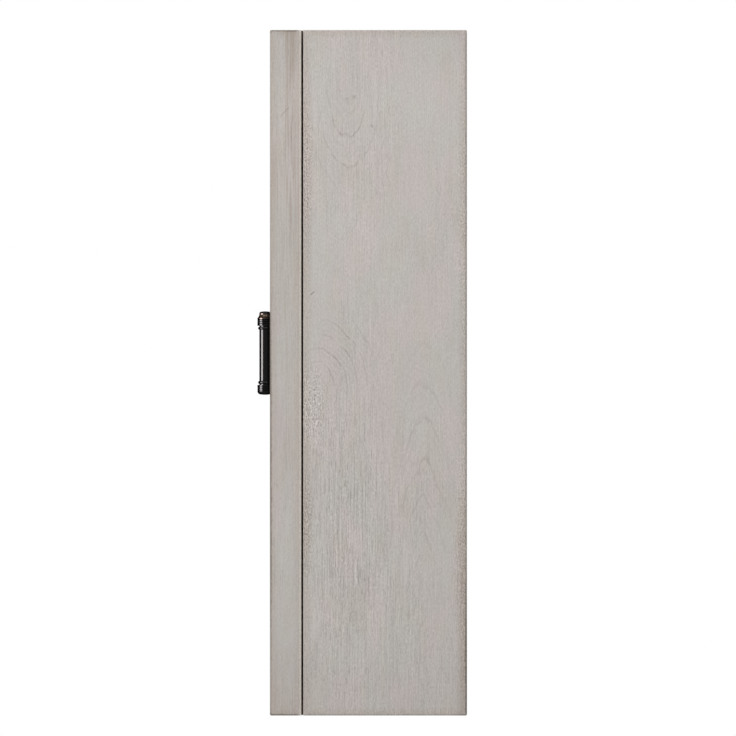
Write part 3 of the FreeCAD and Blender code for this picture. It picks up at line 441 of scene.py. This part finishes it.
# Shelf pegs
# Eight nickel-plated pegs pushed into the holes of the sides, each with a flat ledge, four under a shelf.
def nickel(*hardware):
    """Pressed and plated steel: drawn scratches along one way in the roughness and a warm grey plate."""
    finish, place = begin(hardware[0] + "_nickel")
    drawn = place.cloud((0.0002, 0.006, 0.0002), 3.0)
    bloom = place.cloud((0.010, 0.010, 0.010)).rise(0.35, 0.70)
    colour = bloom.between(seen(206, 202, 195), seen(190, 185, 176)).dimmed(drawn * 0.2 + 0.88)
    lay(finish, place, {"Base Color": colour, "Metallic": 1.0,
                        "Roughness": drawn * 0.24 + bloom * 0.08 + 0.12,
                        "Normal": drawn.relief(0.00002)}, *hardware)


nickel("shelf_pegs")


# Shelf pads
# Round pads of clear silicone stuck to the ledges, so that the glass neither slides nor chips.
def silicone(pads):
    """Milky clear rubber: cloudy in the depth and dulled by dust in patches."""
    finish, place = begin(pads + "_silicone")
    dust = place.cloud((0.002, 0.002, 0.002), 3.0).rise(0.40, 0.70)
    colour = dust.between(seen(236, 239, 238), seen(214, 214, 208))
    lay(finish, place, {"Base Color": colour, "Roughness": dust * 0.25 + 0.25, "IOR": 1.41,
                        "Transmission Weight": 0.65}, pads)


silicone("shelf_pads")


# Hinge plates and arms
# Plates screwed inside the right side, each with a raised block, and the cranked arms screwed to the blocks
# that reach into the door. All are pressed from steel sheet and nickel plated, and the screws are zinc.
nickel("hinge_plate_upper", "hinge_plate_lower", "hinge_arm_upper", "hinge_arm_lower")
zinc("hinge_plate_screws")
zinc("hinge_arm_screws")


# Magnetic catch
# A moulded case screwed inside the left side, with a ferrite magnet held between two steel pole plates that
# stand out of it and meet the strike on the door.
def catch_plastic():
    """Off-white moulded plastic with the fine spark-worn grain of its mould."""
    finish, place = begin("moulded_plastic")
    grain = place.cloud((0.0004, 0.0004, 0.0004), 2.0)
    yellowed = place.cloud((0.012, 0.012, 0.012)).rise(0.35, 0.70)
    colour = yellowed.between(seen(226, 223, 215), seen(216, 210, 196)).dimmed(grain * 0.08 + 0.96)
    lay(finish, place, {"Base Color": colour, "Roughness": grain * 0.2 + 0.36,
                        "Normal": grain.relief(0.00005)}, "catch_body")


def ferrite():
    """Pressed and fired powder: near black, with a coarse speckle of grains."""
    finish, place = begin("fired_ferrite")
    grain = place.cloud((0.0003, 0.0003, 0.0003), 3.0)
    colour = grain.rise(0.45, 0.75).between(seen(46, 45, 46), seen(86, 84, 84))
    lay(finish, place, {"Base Color": colour, "Roughness": 0.75 - grain * 0.3,
                        "Normal": grain.relief(0.00006)}, "catch_magnet")


catch_plastic()
ferrite()
zinc("catch_poles")
zinc("catch_screws")


# Door frame
# Two stiles and two rails of the same washed wood, 35 mm thick, coped over a moulded inner edge and dowelled
# at the corners. The back edge of the right stile, along the gap to the case, is lighter in a thin cream
# line:
# thicker wash there, and a painted highlight on its arris.
door_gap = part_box("stile_right")[1].y
stile_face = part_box("stile_right")[1].x
arris_x = stile_face - 0.0010
middle = sum(corners("stile_right")) / 2
whitewash("stile_right",
          [(middle + (0.008, 0.0, -0.130), 1, 1.4,
            (middle + (0.0, -0.017, -0.080), (0.040, 0.030, 0.110), 0.6))],
          door_gap, cream_and_highlight=0.8, coarse=0.65, side_wear=0.20,
          rubbed=[((stile_face, -0.219, -0.130), (0.030, 0.020, 0.300), 0.50)],
          stains=[((stile_face, -0.1955, 0.385), (0.030, 0.011, 0.090), 0.45),
                  ((stile_face, -0.1960, 0.250), (0.030, 0.009, 0.170), 0.16),
                  ((stile_face, -0.2010, 0.200), (0.040, 0.040, 0.420), 0.12),
                  ((stile_face, -0.2020, -0.060), (0.030, 0.012, 0.110), 0.08),
                  ((stile_face, -0.2000, -0.385), (0.030, 0.040, 0.120), 0.16)],
          scratches_and_shade_lines=[((stile_face, -0.2066, 0.2852), (stile_face, -0.1978, 0.2952), 0.0014, 0.45),
                     # Painted shade, not a scratch: a dark line along the front arris beside the handle.
                     ((arris_x, -0.2187, 0.066), (arris_x, -0.2187, -0.026), 0.0024, 1.0)])
middle = sum(corners("stile_left")) / 2
whitewash("stile_left",
          [(middle + (-0.006, 0.0, 0.150), -1, 1.4,
            (middle + (0.0, -0.017, 0.100), (0.040, 0.030, 0.110), 0.8))],
          door_gap, coarse=0.65)
for rail, drift, way in (("rail_top", 0.140, 1), ("rail_bottom", -0.090, -1)):
    middle = sum(corners(rail)) / 2
    spot = (middle + (drift + way * 0.040, -0.017, 0.0), (0.110, 0.030, 0.040), 0.8)
    whitewash(rail, [(middle + (drift, 0.0, 0.006), way, 1.4, spot)], door_gap, coarse=0.65)
beech("frame_dowels")


# Mirror
# A 5 mm silvered plate with a 25 mm ground bevel all round, held against the lip of the frame.
def silvering():
    """Silver behind glass: a bright plate with a faint wiped film, greener at its ground rim."""
    low, high = corners("mirror_glass")
    finish, place = begin("silvered_glass")
    film = place.cloud((0.09, 0.09, 0.05), 3.0).rise(0.45, 0.80)
    rim = from_edge(place, low, high).rise(0.010, 0.001)
    colour = rim.between(seen(231, 235, 234), seen(204, 224, 215))
    lay(finish, place, {"Base Color": colour, "Metallic": 1.0,
                        "Roughness": film * 0.03 + rim * 0.05 + 0.006}, "mirror_glass")


silvering()


# Mirror backing
# A sheet of 3 mm hardboard that keeps the silver from harm, brown and smooth, with the print of the press's
# wire screen on its rough side.
def hardboard():
    """Pressed brown fibre, and a square print where two sines of the screen's pitch meet."""
    screen_pitch = 0.0018
    finish, place = begin("pressed_hardboard")
    x, z = place.parts()[::2]
    print_x = (x * (math.tau / screen_pitch)).math("SINE")
    print_z = (z * (math.tau / screen_pitch)).math("SINE")
    screen = (print_x * print_z).rise(-0.4, 0.9)
    fibre = place.cloud((0.002, 0.002, 0.002), 4.0)
    stain = place.cloud((0.06, 0.06, 0.06), 2.0).rise(0.35, 0.70)
    colour = stain.between(seen(128, 95, 64), seen(119, 86, 57)).dimmed(fibre * 0.5 + screen * 0.12 + 0.70)
    lay(finish, place, {"Base Color": colour, "Roughness": fibre * 0.2 + 0.62,
                        "Normal": (screen * 0.6 + fibre).relief(0.0002)}, "mirror_backing")


hardboard()


# Beads and their pins
# Four strips of the washed wood behind the backing, chamfered on the inside and pinned sideways to the frame.
for bead in ("bead_left", "bead_right", "bead_top", "bead_bottom"):
    middle = sum(corners(bead)) / 2
    whitewash(bead, [(middle, 1, 1.4, (middle, (0.060, 0.060, 0.060), 0.6))])
zinc("bead_pins")


# Hinge cups and pins
# Pressed cups let into the back of the right stile, with a flange screwed down flush, and in each a steel pin
# between two lugs that the arm's eye turns on.
nickel("hinge_cup_upper", "hinge_cup_lower", "hinge_pin_upper", "hinge_pin_lower")
zinc("hinge_cup_screws")


# Pull handle
# An upright bar turned in bronze, with a bead near each end and a grooved ferrule over each spigot, on two
# posts with round rosettes. Only the upper ferrule has a finial. It is blackened, and brown in the hollows.
def turned(name, profile, base, axis, saddle=None):
    """A turned piece: each point of the profile, which is a radius, a height and a share of brown, goes round
    the axis, so that a vertex is the base, plus the height along the axis, plus the radius in the direction
    of its angle. A profile that ends where it starts closes on itself, and any other has small flat ends. A
    saddle is a seat, a standoff and a radius: heights past the seat are drawn in evenly, so that those at the
    standoff lie on the round bar of that radius with its axis at the standoff."""
    sides = 128
    axis = np.array(axis, float)
    across = np.cross(axis, (0, 0, 1) if axis[2] == 0 else (0, 1, 0))
    profile = np.array(profile)
    closed = np.allclose(profile[0], profile[-1])
    if closed:
        profile = profile[:-1]
    radius, height, brown = np.repeat(profile.T[:, :, None], sides, axis=2)
    angle = np.arange(sides) * math.tau / sides
    if saddle is not None:
        seat, standoff, round_radius = saddle
        bar_side = standoff - np.sqrt(round_radius ** 2 - (radius * np.cos(angle)) ** 2)
        drawn_in = seat + (height - seat) * (bar_side - seat) / (standoff - seat)
        height = np.where(height > seat, drawn_in, height)
    direction = np.cos(angle)[:, None] * across + np.sin(angle)[:, None] * np.cross(axis, across)
    points = np.array(base) + height[:, :, None] * axis + radius[:, :, None] * direction
    grid = np.arange(radius.size).reshape(-1, sides)
    start, end = grid, np.roll(grid, -1, axis=0)
    ends = []
    if not closed:
        start, end = start[:-1], end[:-1]
        ends = [grid[0][::-1].tolist(), grid[-1].tolist()]
    quads = np.stack([start, np.roll(start, -1, 1), np.roll(end, -1, 1), end], axis=-1).reshape(-1, 4)
    mesh = bpy.data.meshes.new(name)
    mesh.from_pydata(points.reshape(-1, 3), [], quads.tolist() + ends)
    mesh.attributes.new("brown", "FLOAT", "POINT").data.foreach_set("value", brown.ravel())
    mesh.shade_smooth()
    mesh.set_sharp_from_angle(angle=math.radians(40))
    piece = bpy.data.objects.new(name, mesh)
    bpy.context.scene.collection.objects.link(piece)
    return piece


def run(start, end, bulge=0.0, brown=0.0, count=2):
    """A stretch of a profile between two points, bowed outwards by a bulge at its middle as a parabola."""
    share = np.linspace(0, 1, count)[:, None]
    way = np.subtract(end, start)
    outwards = np.array([way[1], -way[0]]) / np.hypot(*way)
    points = np.array(start) + share * way + 4 * share * (1 - share) * bulge * outwards
    return np.column_stack([points, np.full(count, brown)])


def quarter(middle, radius, brown=0.0, count=9):
    """A quarter round of a profile about a middle, from its side to its top."""
    angle = np.linspace(0, math.pi / 2, count)
    points = np.array(middle) + radius * np.stack([np.cos(angle), np.sin(angle)], axis=1)
    return np.column_stack([points, np.full(count, brown)])


def bronze():
    """Near black patina over turned metal, broken by brown where the profile and a cloud both say so."""
    finish, place = begin("oiled_bronze")
    brown = place.node("Attribute", {"attribute_name": "brown"}, {}, "Fac")
    patch = place.cloud((0.005, 0.005, 0.005), 3.0)
    grain = place.cloud((0.0006, 0.0006, 0.0006), 2.0)
    bare = (brown + (patch - 0.5) * 0.9).rise(0.25, 0.95)
    colour = bare.between(seen(31, 30, 30), seen(68, 57, 49)).dimmed(grain * 0.5 + 0.75)
    lay(finish, place, {"Base Color": colour, "Metallic": 1.0, "Roughness": patch * 0.10 + bare * 0.15 + 0.09,
                        "Specular Tint": seen(84, 80, 78), "Normal": grain.relief(0.00001)})
    return finish


oiled_bronze = bronze()
pull_handle = bpy.data.collections.new("pull_handle")


def bronze_piece(node, profile, base, axis, saddle=None):
    """A turned bronze piece on the door in place of its CAD node."""
    piece = turned(node.replace("handle", "bronze"), profile, base, axis, saddle)
    piece.data.materials.append(oiled_bronze)
    pull_handle.objects.link(piece)
    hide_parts(node)
    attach(piece, "door")


on_axis = 0.00005
clearance = 0.00005
bar_low, bar_high = corners("handle_bar")
bar_middle = (bar_low + bar_high) / 2
bar_radius = 0.0076
bar_half = 0.0390
bead_radius = 0.0092
bead_half = 0.0020
bead_inset = 0.0012
bead_middle = bar_half - bead_inset - bead_half
spigot_radius = 0.0045
spigot_tip = (bar_high - bar_low)[2] / 2
bead_way = np.linspace(math.pi, 0, 17)
bead = np.column_stack([bar_radius + (bead_radius - bar_radius) * np.sin(bead_way),
                        bead_middle + bead_half * np.cos(bead_way), 0.2 * np.sin(bead_way)])
upper_half = np.concatenate([
    run((bar_radius, 0), (bar_radius, bead_middle - bead_half), count=6)[:-1],
    bead,
    run((bar_radius, bar_half), (spigot_radius, bar_half)),
    run((spigot_radius, spigot_tip), (on_axis, spigot_tip)),
])
lower_half = upper_half[:0:-1] * (1, -1, 1)
bronze_piece("handle_bar", np.concatenate([lower_half, upper_half]), bar_middle, (0, 0, 1))

ferrule_radius = 0.0102
sleeve = 0.0102
chamfer = 0.0005
groove_depth = 0.0005
groove_pitch = 0.0026
bore_radius = spigot_radius + clearance
bore_depth = spigot_tip - bar_half + clearance
end_crown = 0.0005
end_bulge = 0.0002
cove_height = 0.0056
cove_top = sleeve + cove_height
cove_hollow = 0.0007
finial_radius = 0.0076
finial_round = 0.0024
finial_step = 0.0004
plain_end_foot = 0.0084
plain_end_round = 0.0042


def rounded_over(radius, foot, end_round):
    """The end of a ferrule, rounded over from a radius at its foot to a low crown on the axis."""
    top = foot + end_round
    return np.concatenate([quarter((radius - end_round, foot), end_round, 0.15),
                           run((radius - end_round, top), (on_axis, top + end_crown), end_bulge, 0.1, 6)[1:]])


ferrule = [run((on_axis, bore_depth), (bore_radius, bore_depth)),
           run((bore_radius, 0), (ferrule_radius - chamfer, 0)),
           run((ferrule_radius, chamfer), (ferrule_radius, groove_pitch - groove_depth))]
for groove in groove_pitch * np.arange(1, 4):
    groove_end = groove + groove_depth
    land_end = groove + groove_pitch - groove_depth
    ferrule += [run((ferrule_radius - groove_depth, groove), (ferrule_radius, groove_end), 0.0, 0.3),
                run((ferrule_radius, groove_end), (ferrule_radius, land_end))[1:]]
shoulder = run((ferrule_radius, sleeve), (finial_radius, cove_top), -cove_hollow, 0.65, 12)
finial = rounded_over(finial_radius, cove_top + finial_step, finial_round)
plain_end = rounded_over(ferrule_radius, plain_end_foot, plain_end_round)
bronze_piece("handle_ferrule_upper", np.concatenate(ferrule[:-1] + [shoulder, finial]),
             bar_middle + (0, 0, bar_half), (0, 0, 1))
bronze_piece("handle_ferrule_lower", np.concatenate(ferrule[:-1] + [plain_end]),
             bar_middle - (0, 0, bar_half), (0, 0, -1))

door_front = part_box("stile_left")[0].y
standoff = door_front - bar_middle[1]
rosette_radius = 0.0110
rosette_height = 0.0025
rosette_edge = 0.0012
screw_hole = 0.0023
rosette = np.concatenate([
    run((screw_hole, 0), (rosette_radius, 0)),
    quarter((rosette_radius - rosette_edge, rosette_height - rosette_edge), rosette_edge, 0.2),
    run((screw_hole, rosette_height), (screw_hole, 0)),
])
post_foot = 0.0090
post_foot_rim = 0.0012
post_head = 0.0065
post_hollow = 0.0024
post_neck = 0.0004
neck_top = standoff - ferrule_radius - post_neck
thread_radius = 0.0020 + clearance
thread_depth = 0.0100 + clearance
thread_end = rosette_height + thread_depth
post = np.concatenate([
    run((on_axis, thread_end), (thread_radius, thread_end)),
    run((thread_radius, rosette_height), (post_foot, rosette_height)),
    run((post_foot, rosette_height + post_foot_rim), (post_head, neck_top), -post_hollow, 0.3, 15),
    run((post_head, neck_top), (post_head, standoff), count=4)[1:],
    run((post_head, standoff), (on_axis, standoff), count=12)[1:],
])
for end in ("upper", "lower"):
    middle = sum(corners("handle_rosette_" + end)) / 2
    foot = (middle[0], door_front, middle[2])
    bronze_piece("handle_rosette_" + end, rosette, foot, (0, -1, 0))
    bronze_piece("handle_post_" + end, post, foot, (0, -1, 0), (neck_top, standoff, ferrule_radius))
zinc("handle_screws")


# Strike plate and buffers
# A zinc-plated plate screwed to the back of the left stile, where the catch meets it, and two clear buffers
# that let the door close without a knock.
zinc("strike_plate")
zinc("strike_screw")
silicone("door_buffers")


# Studio
# A pale floor well below the hanging cabinet, which fades into white, a soft key from above, a soft light
# from behind, a strip that lights the handle alone, and the camera square to the right side.
def white_where_seen(tree, dim):
    """White for what the camera, a reflection or clear glass sees, and dimmer as light on the object."""
    rays = tree.nodes.new("ShaderNodeLightPath").outputs
    direct = Shade(tree, rays["Is Camera Ray"])
    for ray in ("Is Glossy Ray", "Is Transmission Ray"):
        direct = direct.math("MAXIMUM", Shade(tree, rays[ray]))
    return direct * (1 - dim) + dim


ambient = 0.49
world = bpy.data.worlds.new("studio")
bpy.context.scene.world = world
world.use_nodes = True
world.node_tree.nodes.clear()
strength = white_where_seen(world.node_tree, ambient)
glow = strength.node("Background", {}, {"Color": (1, 1, 1, 1), "Strength": strength})
glow.node("OutputWorld", {}, {"Surface": glow})

floor_drop = 0.90
floor_radius = 6.0
floor_sides = 96
rim = np.linspace(0, math.tau, floor_sides, endpoint=False)
floor_points = np.stack([floor_radius * np.cos(rim), floor_radius * np.sin(rim),
                         np.full(floor_sides, cad_box[0].z - floor_drop)], axis=1)
floor_mesh = bpy.data.meshes.new("floor")
floor_mesh.from_pydata(floor_points, [], [list(range(floor_sides))])
floor = bpy.data.objects.new("floor", floor_mesh)
bpy.context.scene.collection.objects.link(floor)
floor_finish, place = begin("pale_floor")
x, y = place.parts()[:2]
away = (x ** 2 + y ** 2) ** 0.5
matt = place.node("BsdfDiffuse", {}, {"Color": seen(240, 240, 238)})
white = place.node("Emission", {}, {"Strength": white_where_seen(place.tree, ambient)})
faded = place.node("MixShader", {}, {0: away.rise(0.8, 3.2), 1: matt, 2: white})
place.node("OutputMaterial", {}, {"Surface": faded})
floor_mesh.materials.append(floor_finish)


def lamp(name, place, target, size, power):
    """A rectangular soft light at a place, turned to a target."""
    light = bpy.data.lights.new(name, "AREA")
    light.shape = "RECTANGLE"
    light.size, light.size_y = size
    light.energy = power
    lamp_object = bpy.data.objects.new(name, light)
    bpy.context.scene.collection.objects.link(lamp_object)
    lamp_object.location = place
    lamp_object.rotation_euler = (Vector(target) - Vector(place)).to_track_quat("-Z", "Y").to_euler()
    return lamp_object


lamp("key_softbox", (2.2, -1.4, 2.0), (0.3, -0.1, 0.1), (1.8, 1.8), 64)
lamp("back_softbox", (-1.8, 2.2, 1.6), (0.0, -0.1, 0.0), (3.2, 3.2), 50)
strip = lamp("handle_strip", (0.600, -1.990, 0.03), (-0.267, -0.246, 0.022), (1.26, 0.9), 135)
strip.visible_diffuse = False
strip.light_linking.receiver_collection = pull_handle

photo_pixels = 736
photo_middle = (-0.110, 0.0053)
near_scale = 0.0011108
near_distance = 3.04
camera = bpy.data.cameras.new("camera")
camera.sensor_width = 36.0
camera.lens = camera.sensor_width * near_distance / (photo_pixels * near_scale)
camera_object = bpy.data.objects.new("camera", camera)
bpy.context.scene.collection.objects.link(camera_object)
camera_object.location = (cad_box[1].x + near_distance, *photo_middle)
camera_object.rotation_euler = (math.pi / 2, 0, math.pi / 2)
bpy.context.scene.camera = camera_object
bpy.context.scene.view_settings.view_transform = "Standard"
